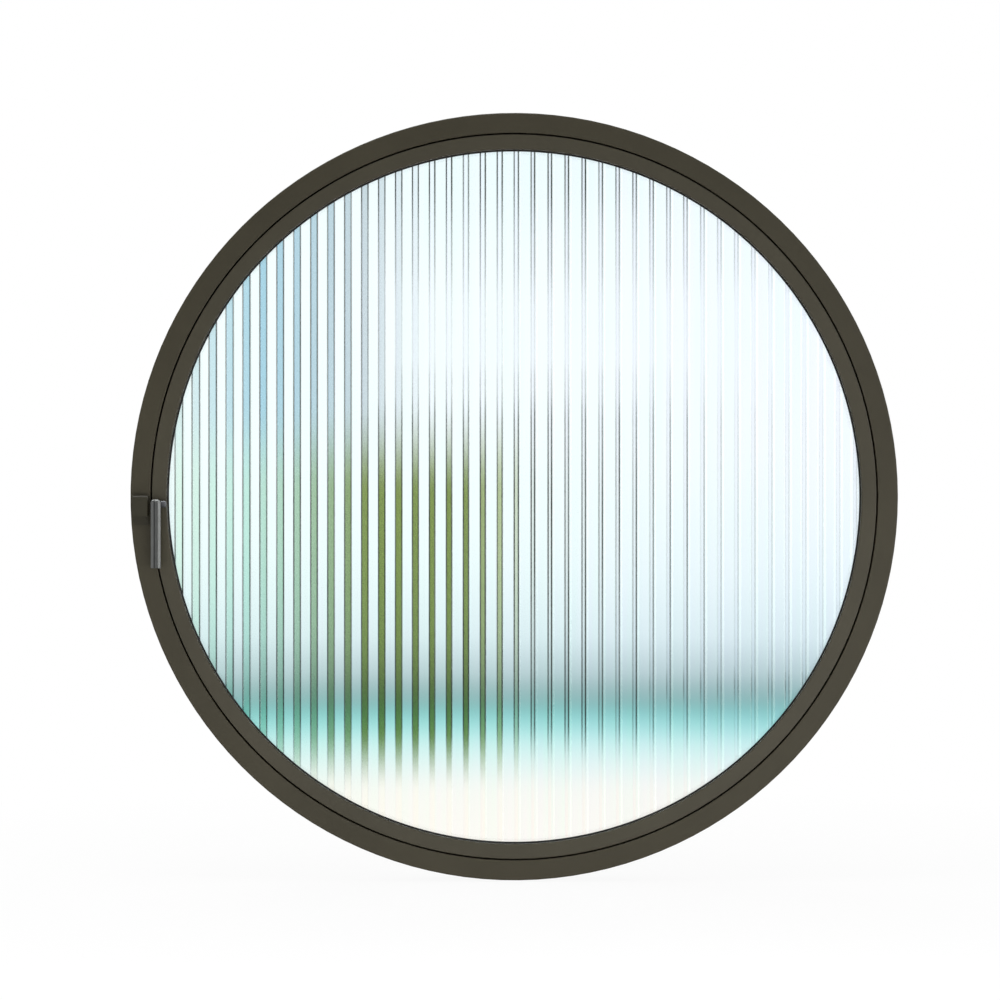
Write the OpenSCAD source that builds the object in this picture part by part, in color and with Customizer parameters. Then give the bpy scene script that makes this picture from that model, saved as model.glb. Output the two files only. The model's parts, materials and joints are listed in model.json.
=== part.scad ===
// Round pivot window with a reeded glass unit, a rolled frame and a lever handle.
// X runs to the right, Y out of the room, Z up. The origin is the centre of the fixed frame.

/* [Frame] */
// Outer diameter of the fixed frame
frame_d = 1200; // [900:10:1500]
// Depth of the fixed frame, from room to outside
frame_depth = 70; // [66:1:90]
// Width of the frame's face, measured along a radius
frame_face = 31.2; // [30:0.1:45]
// Wall of the hollow frame section
frame_wall = 3; // [2.5:0.1:4]
// Rounding of the frame's outer room-side edge
frame_round = 2.5; // [1:0.1:2.8]
// Rounding of every other frame and sash edge
edge_round = 0.9; // [0.4:0.1:1.2]

/* [Sash] */
// Running gap between frame and sash
sash_gap = 2.4; // [2.2:0.1:5]
// Width of the sash's face, measured along a radius
sash_face = 23.1; // [21:0.1:40]
// Depth of the sash, from room to outside
sash_depth = 58; // [56:1:60]
// Distance from the frame's face back to the sash's face
sash_set_back = 1; // [0.4:0.1:2]
// Wall of the sash section
sash_wall = 4; // [3.5:0.1:5]
// Depth of the sash's lip round the glass
lip_depth = 12; // [9:0.5:14]
// Rounding of the sash's edge round the glass
sight_round = 2; // [1:0.1:3]

/* [Glass] */
// Thickness of each pane
pane_t = 6; // [4:0.5:6]
// Air space between the panes
air_space = 12; // [8:1:14]
// Cover of the sash over the glass edge
glass_cover = 9.7; // [9.2:0.1:12]
// Width of a wide reed
reed_wide_w = 16.4; // [10:0.2:24]
// Width of a narrow reed
reed_narrow_w = 10.2; // [6:0.2:16]
// Offset of the first reed from the window's centre
reed_shift = 10.3; // [0:0.1:26]
// Rise of a wide reed
reed_wide_h = 0.9; // [0.6:0.1:2.2]
// Rise of a narrow reed
reed_narrow_h = 0.6; // [0.4:0.1:1.4]
// Thickness of the glazing gaskets
gasket_t = 3; // [2:0.5:3.5]

/* [Pivots] */
// Diameter of the pivot pins
pivot_d = 10; // [8:0.5:12]
// Outer diameter of the pivot bushes
bush_d = 16; // [15:0.5:18]

/* [Handle] */
// Length of the lever
lever_l = 107; // [90:1:140]
// Width of the lever
lever_w = 15; // [14:0.5:18]
// Thickness of the lever
lever_t = 10; // [8:0.5:12]
// Height of the handle's axis below the window's centre
handle_drop = 12; // [5:1:30]
// Distance from the handle's axis to the sash's outer edge
handle_inset = 8.2; // [6:0.1:9]
// Reach of the locking tongue from the handle's axis
tongue_reach = 15; // [14.6:0.1:18]

/* [Keeper] */
// Width of the keeper
keeper_w = 24; // [20:0.5:25]
// Height of the keeper's block
keeper_block_h = 32.4; // [30:0.2:40]
// Height of the keeper's two lower steps together
keeper_tail_h = 13.5; // [8:0.5:20]

/* [Hidden] */
$fn = 360;

// Colours
bronze = [0.25, 0.24, 0.2];
bronze_light = [0.3, 0.29, 0.24];
seal_black = [0.05, 0.05, 0.05];
steel = [0.62, 0.63, 0.64];
clear_glass = [0.82, 0.93, 0.94, 0.45];
zinc_grey = [0.33, 0.34, 0.33];
nylon = [0.12, 0.12, 0.12];

// Clearances and the one overrun of all cuts
fit_gap = 0.1;
run_gap = 0.05;
seal_gap = 0.4;
play = 0.3;
overrun = 1;

// Frame, from its bore outwards
frame_r = frame_d / 2;
bore_r = frame_r - frame_face;
room_y = -frame_depth / 2;
out_y = frame_depth / 2;
chamber_round = frame_wall / 3;

// Sash, from its sight line outwards
sash_r = bore_r - sash_gap;
sight_r = sash_r - sash_face;
sash_y = room_y + sash_set_back;
sash_end = sash_y + sash_depth;
pocket_r = sash_r - sash_wall;
axis_y = (sash_y + sash_end) / 2;

// Glass unit
pane_r = sight_r + glass_cover;
gasket_y = sash_y + lip_depth;
lip_wall = 3;
reed_y = gasket_y + gasket_t;
reed_back = reed_y + pane_t;
reed_foot = reed_y + reed_wide_h;
clear_y = reed_back + air_space;
clear_back = clear_y + pane_t;
outer_gasket_back = clear_back + gasket_t;
reed_pitch = reed_wide_w + reed_narrow_w;
reed_pairs = ceil((pane_r + reed_shift) / reed_pitch);
reed_steps = 8;
rear_set_back = 3.2;
rear_r = sight_r + rear_set_back;
spacer_h = 4;
sealant_r = rear_r + spacer_h;
gasket_proud = 2.3;
outer_gasket_proud = 0.8;
gasket_back_cover = 2;
block_arc = 6;
block_places = [65, 115, 245, 295];

// Glazing ring and its seat in the sash
seat_gap = 1.5;
seat_r = pane_r + seat_gap;
flange_t = sash_wall;
seat_y = sash_end - flange_t;
seat_back = seat_y - sash_wall;
ring_wall = 3.5;
ring_foot_t = 3;
ring_flare = 4;

// Countersunk screws, as head diameter, shank diameter and head height
screw_head = 7;
screw_d = 3.9;
screw_head_h = 1.8;
head_flush = 0.2;
ring_screw_count = 16;
ring_screw_r = (seat_r + pocket_r) / 2;
ring_screw_l = 9;

// Stop strip on the outer left side
stop_from = 98;
stop_to = 262;
stop_wall = 2.8;
stop_seal_t = 2.6;
stop_seal_w = 6;
stop_y = sash_end + seal_gap + stop_seal_t;
stop_lip = 12;
stop_screw_count = 7;
stop_screw_step = (stop_to - stop_from) / (stop_screw_count + 1);
stop_screw_y = (stop_y + stop_wall + out_y) / 2;
stop_screw_head = 4;
stop_screw_d = 2.4;
stop_screw_head_h = 1;
stop_screw_l = 7;

// Perimeter seal of the sash
seal_w = 5;
seal_depth = 1.5;
seal_run_gap = 0.8;
seal_rise = sash_gap - seal_run_gap;
seal_round = seal_w / 2 - 2 * fit_gap;
seal_y = sash_end - sash_wall - flange_t - seal_w;

// Pivots
pin_seat_r = pane_r + seat_gap + fit_gap;
pin_end_gap = 2;
housing_w = 46;
housing_depth = 34;
housing_t = 14;
housing_r = bore_r + frame_wall;
bush_collar_d = 24;
bush_l = housing_t + frame_wall;
collar_r = bore_r - play;
pin_top_r = collar_r + bush_l - pin_end_gap;
washer_d = 22;
washer_t = 0.8;
thrust_gap = 0.4;
bush_collar_t = sash_gap - play - washer_t - thrust_gap;
block_w = 40;
block_depth = 26;
housing_screw_x = 17;
block_screw_x = 14;
housing_screw_l = 13;
block_screw_l = 9;

// Handle, with its axis on the sash's face
lever_end_round = 1;
lever_top_round = 5.5;
lever_left_drop = 0.9;
lever_bevel_w = 3.8;
lever_bevel_t = 2.6;
lever_top_bevel = 2.4;
lever_groove_w = 1.5;
lever_groove_t = 2;
lever_groove_share = 0.31;
hub_r = lever_w / 2;
hub_z = -handle_drop;
hub_x = -sqrt(pow(sash_r, 2) - pow(hub_z, 2)) + handle_inset;
base_r = 6;
base_l = 24;
base_t = 4;
boss_t = 8;
boss_y = sash_y - boss_t;
washer_gap = 0.4;
handle_washer_d = 12;
neck_d = 10;
neck_y = boss_y - washer_gap;
tongue_t = 3.2;
tongue_h = 10.4;
tongue_end_round = 2;
tongue_y = neck_y - play;
lever_y = tongue_y - tongue_t;
lever_face = lever_y - lever_t;
handle_pin_d = 6;
handle_pin_head_d = 8.6;
handle_pin_head_t = 2;
handle_pin_cover = 3;
base_screw_places_share = [0.5, 1];
base_screw_head = 6;
base_screw_d = 3;
base_screw_l = 7.6;

// Keeper on the frame's face
keeper_inset = 1.9;
keeper_bevel = 2.4;
keeper_side_bevel = 1.4;
keeper_rise = 1.4;
keeper_x0 = -bore_r - keeper_inset - keeper_w;
keeper_x1 = keeper_x0 + keeper_w;
keeper_step_t = [6, 3];
keeper_lip = 3.4;
keeper_slot_play = 0.6;
keeper_slot_w = 7;
keeper_slot_h = 25;
keeper_round = 3;
keeper_slot_y0 = lever_y - keeper_slot_play;
keeper_slot_y1 = tongue_y + keeper_slot_play;
keeper_face = keeper_slot_y0 - keeper_lip;
keeper_screw_d = 4;
keeper_screw_head = 7;
keeper_screw_head_t = 2;
keeper_screw_bite = 5;
keeper_screw_x = keeper_x0 + (keeper_w - keeper_slot_w) / 2;
keeper_screw_shares = [0.28, 0.76];

// Points of an arc, from the angle a0 to the angle a1
function arc(centre, r, a0, a1, steps = 6) =
    [for (i = [0:steps]) centre + r * [cos(a0 + (a1 - a0) * i / steps), sin(a0 + (a1 - a0) * i / steps)]];

// A section from radius r0 to r1 and from depth y0 to y1, with its four corners rounded:
// inner room side, outer room side, outer back, inner back
function section(r0, r1, y0, y1, rounds) = concat(
    arc([r0 + rounds[0], y0 + rounds[0]], rounds[0], 180, 270),
    arc([r1 - rounds[1], y0 + rounds[1]], rounds[1], 270, 360),
    arc([r1 - rounds[2], y1 - rounds[2]], rounds[2], 0, 90),
    arc([r0 + rounds[3], y1 - rounds[3]], rounds[3], 90, 180));

// A plain rectangular section
function plain_section(r0, r1, y0, y1) = [[r0, y0], [r1, y0], [r1, y1], [r0, y1]];

// A section turned about the window's depth axis
module ring(points) {
    rotate([-90, 0, 0])
        rotate_extrude()
            polygon(points);
}

// Part of such a ring, between two angles counted from the right over the top
module ring_arc(points, from, to) {
    rotate([-90, 0, 0])
        rotate([0, 0, -to])
            rotate_extrude(angle = to - from)
                polygon(points);
}

// A rod along the depth axis
module depth_rod(d, x, z, y0, y1) {
    translate([x, y0, z])
        rotate([-90, 0, 0])
            cylinder(d = d, h = y1 - y0);
}

// A rod along the upright axis
module upright_rod(d, x, y, z0, z1) {
    translate([x, y, z0])
        cylinder(d = d, h = z1 - z0);
}

// A countersunk screw along +Z, with the face of its head at zero
module countersunk(head, d, head_h, length, gap = 0) {
    cylinder(d1 = head + 2 * gap, d2 = d + 2 * gap, h = head_h);
    translate([0, 0, head_h - fit_gap])
        cylinder(d = d + 2 * gap, h = length - head_h + fit_gap + gap);
    if (gap > 0)
        translate([0, 0, -overrun])
            cylinder(d = head + 2 * gap, h = overrun + fit_gap);
}

// Turns what is built for the top pivot round to the bottom one
module at_bottom() {
    rotate([0, 180, 0])
        children();
}

module both_pivots() {
    children();
    at_bottom()
        children();
}

// Fixed frame

module housing_screw_places() {
    for (side = [-1, 1])
        translate([side * housing_screw_x, axis_y, bore_r - head_flush])
            children();
}

module keeper_screw_places() {
    for (share = keeper_screw_shares)
        translate([keeper_screw_x, room_y + frame_wall, keeper_rise - keeper_block_h * share])
            rotate([90, 0, 0])
                children();
}

module stop_screw_places() {
    for (i = [1:stop_screw_count])
        rotate([0, -(stop_from + i * stop_screw_step), 0])
            translate([bore_r - stop_wall + head_flush, stop_screw_y, 0])
                rotate([0, 90, 0])
                    children();
}

module outer_frame() {
    rounds = [edge_round, frame_round, edge_round, edge_round];
    inner = [chamber_round, chamber_round, chamber_round, chamber_round];
    color(bronze)
        difference() {
            ring(section(bore_r, frame_r, room_y, out_y, rounds));
            ring(section(bore_r + frame_wall, frame_r - frame_wall,
                room_y + frame_wall, out_y - frame_wall, inner));
            both_pivots()
                union() {
                    upright_rod(bush_d + 2 * fit_gap, 0, axis_y, sash_r, housing_r + overrun);
                    housing_screw_places()
                        countersunk(screw_head, screw_d, screw_head_h, housing_screw_l, fit_gap);
                }
            keeper_screw_places()
                cylinder(d = keeper_screw_d + 2 * fit_gap, h = frame_wall + overrun);
            stop_screw_places()
                cylinder(d = stop_screw_d + 2 * fit_gap, h = stop_screw_l);
        }
}

module stop_strip() {
    color(bronze)
        difference() {
            ring_arc([
                [bore_r - fit_gap, stop_y],
                [bore_r - fit_gap, out_y - edge_round],
                [bore_r - stop_wall, out_y - edge_round],
                [bore_r - stop_wall, stop_y + stop_wall],
                [bore_r - stop_lip, stop_y + stop_wall],
                [bore_r - stop_lip, stop_y]
            ], stop_from, stop_to);
            stop_screw_places()
                countersunk(stop_screw_head, stop_screw_d, stop_screw_head_h, stop_screw_l, fit_gap);
        }
}

module stop_seal() {
    seal_r = bore_r - stop_lip + edge_round;
    color(seal_black)
        ring_arc(plain_section(seal_r, seal_r + stop_seal_w, stop_y - stop_seal_t, stop_y), stop_from, stop_to);
}

module stop_screws() {
    color(steel)
        stop_screw_places()
            countersunk(stop_screw_head, stop_screw_d, stop_screw_head_h, stop_screw_l);
}

module pivot_housing() {
    difference() {
        intersection() {
            translate([-housing_w / 2, axis_y - housing_depth / 2, 0])
                cube([housing_w, housing_depth, housing_r + housing_t]);
            ring(plain_section(housing_r + fit_gap, frame_r - frame_wall - fit_gap, room_y, out_y));
        }
        upright_rod(bush_d + 2 * fit_gap, 0, axis_y, bore_r, frame_r);
        housing_screw_places()
            countersunk(screw_head, screw_d, screw_head_h, housing_screw_l, fit_gap);
    }
}

module upper_pivot_housing() {
    color(steel)
        pivot_housing();
}

module lower_pivot_housing() {
    color(steel)
        at_bottom()
            pivot_housing();
}

module pivot_bush() {
    difference() {
        union() {
            upright_rod(bush_d, 0, axis_y, collar_r - bush_collar_t, collar_r + bush_l);
            upright_rod(bush_collar_d, 0, axis_y, collar_r - bush_collar_t, collar_r);
        }
        upright_rod(pivot_d + 2 * run_gap, 0, axis_y, sash_r, frame_r);
    }
}

module upper_pivot_bush() {
    color(nylon)
        pivot_bush();
}

module lower_pivot_bush() {
    color(nylon)
        at_bottom()
            pivot_bush();
}

module housing_screws() {
    color(steel)
        both_pivots()
            housing_screw_places()
                countersunk(screw_head, screw_d, screw_head_h, housing_screw_l);
}

// One step of the keeper, from its upper edge down to z0 and from the frame's face out to y0
module keeper_step(z0, y0) {
    translate([0, room_y, 0])
        rotate([90, 0, 0])
            linear_extrude(room_y - y0)
                polygon(concat(
                    [[keeper_x1, keeper_rise], [keeper_x0, keeper_rise]],
                    arc([keeper_x0 + keeper_round, z0 + keeper_round], keeper_round, 180, 270),
                    arc([keeper_x1 - keeper_round, z0 + keeper_round], keeper_round, 270, 360)));
}

module keeper() {
    block_z = keeper_rise - keeper_block_h;
    color(bronze)
        difference() {
            union() {
                keeper_step(block_z, keeper_face);
                keeper_step(block_z - keeper_tail_h / 2, room_y - keeper_step_t[0]);
                keeper_step(block_z - keeper_tail_h, room_y - keeper_step_t[1]);
            }
            translate([keeper_x0 - overrun, 0, 0])
                rotate([90, 0, 90])
                    linear_extrude(keeper_w + 2 * overrun)
                        polygon([
                            [keeper_face - overrun, keeper_rise - keeper_bevel - overrun],
                            [keeper_face + keeper_bevel + overrun, keeper_rise + overrun],
                            [keeper_face - overrun, keeper_rise + overrun]
                        ]);
            translate([0, 0, block_z - overrun])
                linear_extrude(keeper_block_h + 2 * overrun)
                    polygon([
                        [keeper_x1 - keeper_side_bevel - overrun, keeper_face - overrun],
                        [keeper_x1 + overrun, keeper_face + keeper_side_bevel + overrun],
                        [keeper_x1 + overrun, keeper_face - overrun]
                    ]);
            translate([keeper_x1 - keeper_slot_w, keeper_slot_y0, keeper_rise - keeper_slot_h])
                cube([keeper_slot_w + overrun, keeper_slot_y1 - keeper_slot_y0, keeper_slot_h + overrun]);
            keeper_screw_places()
                cylinder(d = keeper_screw_d + 2 * fit_gap, h = frame_wall + keeper_screw_bite + fit_gap);
        }
}

module keeper_screws() {
    color(steel)
        keeper_screw_places()
            union() {
                cylinder(d = keeper_screw_d, h = frame_wall + keeper_screw_bite);
                translate([0, 0, -keeper_screw_head_t])
                    cylinder(d = keeper_screw_head, h = keeper_screw_head_t);
            }
}

// Sash

module ring_screw_places() {
    for (i = [0:ring_screw_count - 1])
        rotate([0, (i + 1 / 2) * 360 / ring_screw_count, 0])
            translate([ring_screw_r, sash_end - head_flush, 0])
                rotate([90, 0, 0])
                    children();
}

module block_screw_places() {
    for (side = [-1, 1])
        translate([side * block_screw_x, axis_y, sqrt(pow(sash_r, 2) - pow(block_screw_x, 2)) - head_flush])
            rotate([180, 0, 0])
                children();
}

module base_screw_places() {
    for (share = base_screw_places_share)
        translate([hub_x, sash_y - base_t + head_flush, hub_z - base_l * share])
            rotate([-90, 0, 0])
                children();
}

module sash_ring() {
    color(bronze_light)
        difference() {
            union() {
                ring(section(sight_r, sash_r, sash_y, gasket_y, [sight_round, edge_round, 0, edge_round]));
                ring(section(pocket_r, sash_r, gasket_y - sash_wall / 2, sash_end,
                    [0, 0, edge_round, edge_round]));
                ring(plain_section(seat_r, pocket_r + sash_wall / 2, seat_back, seat_y));
            }
            ring(plain_section(sight_r + lip_wall, sash_r - sash_wall, sash_y + lip_wall, gasket_y - lip_wall));
            ring(plain_section(sash_r - seal_depth, bore_r, seal_y, seal_y + seal_w));
            both_pivots()
                union() {
                    upright_rod(pivot_d + 2 * fit_gap, 0, axis_y, pane_r, bore_r);
                    block_screw_places()
                        countersunk(screw_head, screw_d, screw_head_h, block_screw_l, fit_gap);
                }
            ring_screw_places()
                countersunk(screw_head, screw_d, screw_head_h, ring_screw_l, fit_gap);
            base_screw_places()
                countersunk(base_screw_head, base_screw_d, screw_head_h, base_screw_l, fit_gap);
        }
}

module perimeter_seal() {
    seal_r = sash_r - seal_depth;
    color(seal_black)
        ring(section(seal_r, seal_r + seal_depth + seal_rise, seal_y + fit_gap, seal_y + seal_w - fit_gap,
            [0, seal_round, seal_round, 0]));
}

module room_gasket() {
    color(seal_black)
        ring(plain_section(sight_r - gasket_proud, pane_r - gasket_back_cover, gasket_y, reed_y));
}

// Outline of one reed, as points from its left foot to just before its right foot
function reed(x0, w, h) =
    let (r = (pow(w / 2, 2) + pow(h, 2)) / (2 * h), half = asin(w / 2 / r))
    [for (i = [0:reed_steps - 1]) let (a = half * (2 * i / reed_steps - 1))
        [x0 + w / 2 + r * sin(a), reed_foot - (r * cos(a) - r + h)]];

module reeded_pane() {
    reed_end = reed_pairs * reed_pitch;
    outline = concat(
        [for (i = [-reed_pairs:reed_pairs - 1]) each concat(
            reed(i * reed_pitch, reed_wide_w, reed_wide_h),
            reed(i * reed_pitch + reed_wide_w, reed_narrow_w, reed_narrow_h))],
        [[reed_end, reed_foot], [reed_end, reed_back], [-reed_end, reed_back]]);
    color(clear_glass)
        intersection() {
            depth_rod(2 * pane_r, 0, 0, reed_y - overrun, reed_back + overrun);
            translate([reed_shift, 0, -pane_r - overrun])
                linear_extrude(2 * (pane_r + overrun))
                    polygon(outline);
        }
}

module spacer_bar() {
    color(steel)
        ring(plain_section(rear_r, sealant_r, reed_back, clear_y));
}

module edge_sealant() {
    color(seal_black)
        ring(plain_section(sealant_r, pane_r, reed_back, clear_y));
}

module clear_pane() {
    color(clear_glass)
        depth_rod(2 * pane_r, 0, 0, clear_y, clear_back);
}

module outer_gasket() {
    color(seal_black)
        ring(plain_section(rear_r - outer_gasket_proud, pane_r - gasket_back_cover,
            clear_back, outer_gasket_back));
}

module setting_blocks() {
    color(nylon)
        for (place = block_places)
            ring_arc(plain_section(pane_r + fit_gap, pocket_r - fit_gap, reed_y, clear_back),
                place - block_arc / 2, place + block_arc / 2);
}

module glazing_ring() {
    color(bronze_light)
        difference() {
            ring([
                [rear_r, outer_gasket_back],
                [pane_r - gasket_back_cover, outer_gasket_back],
                [pane_r - gasket_back_cover, outer_gasket_back + ring_foot_t],
                [rear_r + ring_wall, outer_gasket_back + ring_foot_t],
                [rear_r + ring_wall + ring_flare / 2, seat_y],
                [pocket_r - fit_gap, seat_y],
                [pocket_r - fit_gap, sash_end],
                [rear_r + ring_flare, sash_end]
            ]);
            ring_screw_places()
                countersunk(screw_head, screw_d, screw_head_h, ring_screw_l, fit_gap);
        }
}

module ring_screws() {
    color(steel)
        ring_screw_places()
            countersunk(screw_head, screw_d, screw_head_h, ring_screw_l);
}

module pivot_block() {
    difference() {
        intersection() {
            translate([-block_w / 2, axis_y - block_depth / 2, pin_seat_r])
                cube([block_w, block_depth, sash_r - pin_seat_r]);
            depth_rod(2 * (pocket_r - fit_gap), 0, 0, room_y, out_y);
        }
        upright_rod(pivot_d + 2 * fit_gap, 0, axis_y, sight_r, frame_r);
        block_screw_places()
            countersunk(screw_head, screw_d, screw_head_h, block_screw_l, fit_gap);
    }
}

module upper_pivot_block() {
    color(steel)
        pivot_block();
}

module lower_pivot_block() {
    color(steel)
        at_bottom()
            pivot_block();
}

module pivot_pin() {
    upright_rod(pivot_d, 0, axis_y, pin_seat_r, pin_top_r);
}

module upper_pivot_pin() {
    color(steel)
        pivot_pin();
}

module lower_pivot_pin() {
    color(steel)
        at_bottom()
            pivot_pin();
}

module block_screws() {
    color(steel)
        both_pivots()
            block_screw_places()
                countersunk(screw_head, screw_d, screw_head_h, block_screw_l);
}

module thrust_washers() {
    color(nylon)
        both_pivots()
            difference() {
                upright_rod(washer_d, 0, axis_y, sash_r, sash_r + washer_t);
                upright_rod(pivot_d + 2 * fit_gap, 0, axis_y, sash_r - overrun, bore_r);
            }
}

// Handle

// A plate with two round ends, standing out of the sash's face
module base_plate(r, y0, y1) {
    depth_rod(2 * r, hub_x, hub_z, y0, y1);
    depth_rod(2 * r, hub_x, hub_z - base_l - base_r, y0, y1);
    translate([hub_x - r, y0, hub_z - base_l - base_r])
        cube([2 * r, y1 - y0, base_l + base_r]);
}

module handle_base() {
    color(zinc_grey)
        difference() {
            union() {
                base_plate(base_r, sash_y - base_t, sash_y);
                depth_rod(2 * base_r, hub_x, hub_z, boss_y, sash_y);
            }
            depth_rod(handle_pin_d + 2 * run_gap, hub_x, hub_z, boss_y - overrun, sash_y + overrun);
            depth_rod(handle_pin_head_d + 2 * play, hub_x, hub_z,
                sash_y - handle_pin_head_t - play, sash_y + overrun);
            base_screw_places()
                countersunk(base_screw_head, base_screw_d, screw_head_h, base_screw_l, fit_gap);
        }
}

module base_screws() {
    color(steel)
        base_screw_places()
            countersunk(base_screw_head, base_screw_d, screw_head_h, base_screw_l);
}

module handle_washer() {
    color(nylon)
        difference() {
            depth_rod(handle_washer_d, hub_x, hub_z, neck_y + fit_gap, boss_y);
            depth_rod(handle_pin_d + 2 * play, hub_x, hub_z, neck_y - overrun, boss_y + overrun);
        }
}

// Section of the lever across its length:
// a face that falls away to the left, a groove, and a broad bevel on the right
module lever_section() {
    w = lever_w / 2;
    groove_x = -w + lever_w * lever_groove_share;
    difference() {
        polygon([
            [-w, 0], [w, 0],
            [w, lever_t - lever_bevel_t], [w - lever_bevel_w, lever_t],
            [groove_x, lever_t], [-w, lever_t - lever_left_drop]
        ]);
        translate([groove_x, lever_t - lever_groove_t])
            square([lever_groove_w, lever_t]);
    }
}

// Outline of the lever seen from the room, with a rounded upper end
module lever_outline() {
    top = hub_r - lever_top_round;
    foot = hub_r - lever_l + lever_end_round;
    half = hub_r - lever_end_round;
    polygon(concat(
        arc([top, top], lever_top_round, 0, 90, 12),
        arc([-top, top], lever_top_round, 90, 180, 12),
        arc([-half, foot], lever_end_round, 180, 270),
        arc([half, foot], lever_end_round, 270, 360)));
}

// Side view of the lever, with its upper edge bevelled
module lever_profile() {
    polygon([
        [0, hub_r - lever_l - overrun], [0, hub_r],
        [lever_top_bevel - lever_t, hub_r], [-lever_t, hub_r - lever_top_bevel],
        [-lever_t, hub_r - lever_l - overrun]
    ]);
}

module handle_lever() {
    color(zinc_grey)
        difference() {
            union() {
                intersection() {
                    translate([hub_x, lever_y, hub_z])
                        rotate([90, 0, 0])
                            linear_extrude(lever_t)
                                lever_outline();
                    translate([hub_x, lever_y, hub_z - lever_l])
                        rotate([0, 0, 180])
                            linear_extrude(2 * lever_l)
                                mirror([1, 0])
                                    lever_section();
                    translate([hub_x - lever_w, lever_y, hub_z])
                        rotate([90, 0, 90])
                            linear_extrude(2 * lever_w)
                                lever_profile();
                }
                depth_rod(neck_d, hub_x, hub_z, lever_y - overrun, neck_y);
            }
            depth_rod(handle_pin_d + 2 * run_gap, hub_x, hub_z,
                lever_face + handle_pin_cover, neck_y + overrun);
        }
}

module handle_pin() {
    color(steel)
        union() {
            depth_rod(handle_pin_d, hub_x, hub_z, lever_face + handle_pin_cover + fit_gap, sash_y - play);
            depth_rod(handle_pin_head_d, hub_x, hub_z, sash_y - handle_pin_head_t, sash_y - play);
        }
}

module cam_tongue() {
    end = tongue_reach - tongue_end_round;
    half = tongue_h / 2;
    color(steel)
        translate([hub_x, tongue_y, hub_z])
            rotate([90, 0, 0])
                linear_extrude(tongue_t)
                    difference() {
                        polygon(concat(
                            arc([0, 0], half + play, 90, 270, 24),
                            [[0, -half], [end, -half]],
                            arc([end, tongue_end_round - half], tongue_end_round, 270, 360),
                            arc([end, half - tongue_end_round], tongue_end_round, 0, 90),
                            [[0, half]]));
                        circle(d = neck_d + 2 * fit_gap);
                    }
}

outer_frame();
stop_strip();
stop_seal();
stop_screws();
upper_pivot_housing();
lower_pivot_housing();
upper_pivot_bush();
lower_pivot_bush();
housing_screws();
keeper();
keeper_screws();
sash_ring();
perimeter_seal();
room_gasket();
reeded_pane();
spacer_bar();
edge_sealant();
clear_pane();
outer_gasket();
setting_blocks();
glazing_ring();
ring_screws();
upper_pivot_block();
lower_pivot_block();
upper_pivot_pin();
lower_pivot_pin();
block_screws();
thrust_washers();
handle_base();
base_screws();
handle_washer();
handle_lever();
handle_pin();
cam_tongue();
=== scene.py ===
import json
import math
import random

import bmesh
import bpy
from mathutils import Matrix, Vector


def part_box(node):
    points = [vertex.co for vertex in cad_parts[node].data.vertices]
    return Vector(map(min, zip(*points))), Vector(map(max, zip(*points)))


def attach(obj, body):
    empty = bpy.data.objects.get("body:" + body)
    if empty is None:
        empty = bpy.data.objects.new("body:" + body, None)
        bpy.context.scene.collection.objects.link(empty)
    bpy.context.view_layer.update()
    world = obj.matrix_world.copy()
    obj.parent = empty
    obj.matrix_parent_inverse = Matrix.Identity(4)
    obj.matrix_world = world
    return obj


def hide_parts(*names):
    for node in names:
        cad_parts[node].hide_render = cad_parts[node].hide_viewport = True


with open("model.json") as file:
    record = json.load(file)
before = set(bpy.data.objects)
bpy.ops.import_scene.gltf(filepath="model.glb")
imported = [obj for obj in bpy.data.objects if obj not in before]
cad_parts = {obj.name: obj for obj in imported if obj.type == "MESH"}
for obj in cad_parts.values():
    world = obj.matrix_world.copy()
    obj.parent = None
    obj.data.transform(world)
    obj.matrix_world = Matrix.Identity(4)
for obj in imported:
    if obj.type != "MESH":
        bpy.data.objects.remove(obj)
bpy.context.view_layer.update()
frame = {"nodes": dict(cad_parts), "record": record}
random.seed(7)

MM = 0.001
BLACK, WHITE = (0, 0, 0), (1, 1, 1)

# Sizes of the CAD part, in millimetres; a pair is a wide reed and the narrow one to its right
FRAME_R = 600.0
ROOM_Y = -35.0
REED_WIDE, REED_NARROW = 16.4, 10.2
REED_PITCH = REED_WIDE + REED_NARROW
REED_SHIFT = 10.3
REED_FOOT = 0.9
SCREW_HEAD_R = 3.5
TONGUE_RING_R = 5.5
LEVER_WIDE = 15.0
GROOVE_WIDE, GROOVE_SHARE = 1.5, 0.31

# Pane, from its box
pane_lo, pane_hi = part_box("reeded_pane")
PANE_R = pane_hi[0] / MM
REED_Y = pane_lo[1] / MM
PANE_BACK = pane_hi[1] / MM


# Shader nodes

# Levels between which a noise mostly lies
NOISE_LOW, NOISE_HIGH = 0.3, 0.7


def material(name):
    mat = bpy.data.materials.new(name)
    mat.use_nodes = True
    tree = mat.node_tree
    return mat, tree, tree.nodes["Principled BSDF"]


def node(tree, kind, **values):
    made = tree.nodes.new(kind)
    for key, value in values.items():
        setattr(made, key, value)
    return made


def axes(tree, kind):
    """The X, Y and Z outputs of one kind of texture coordinates."""
    coords = node(tree, "ShaderNodeTexCoord")
    split = node(tree, "ShaderNodeSeparateXYZ")
    tree.links.new(coords.outputs[kind], split.inputs["Vector"])
    return split.outputs


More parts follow.
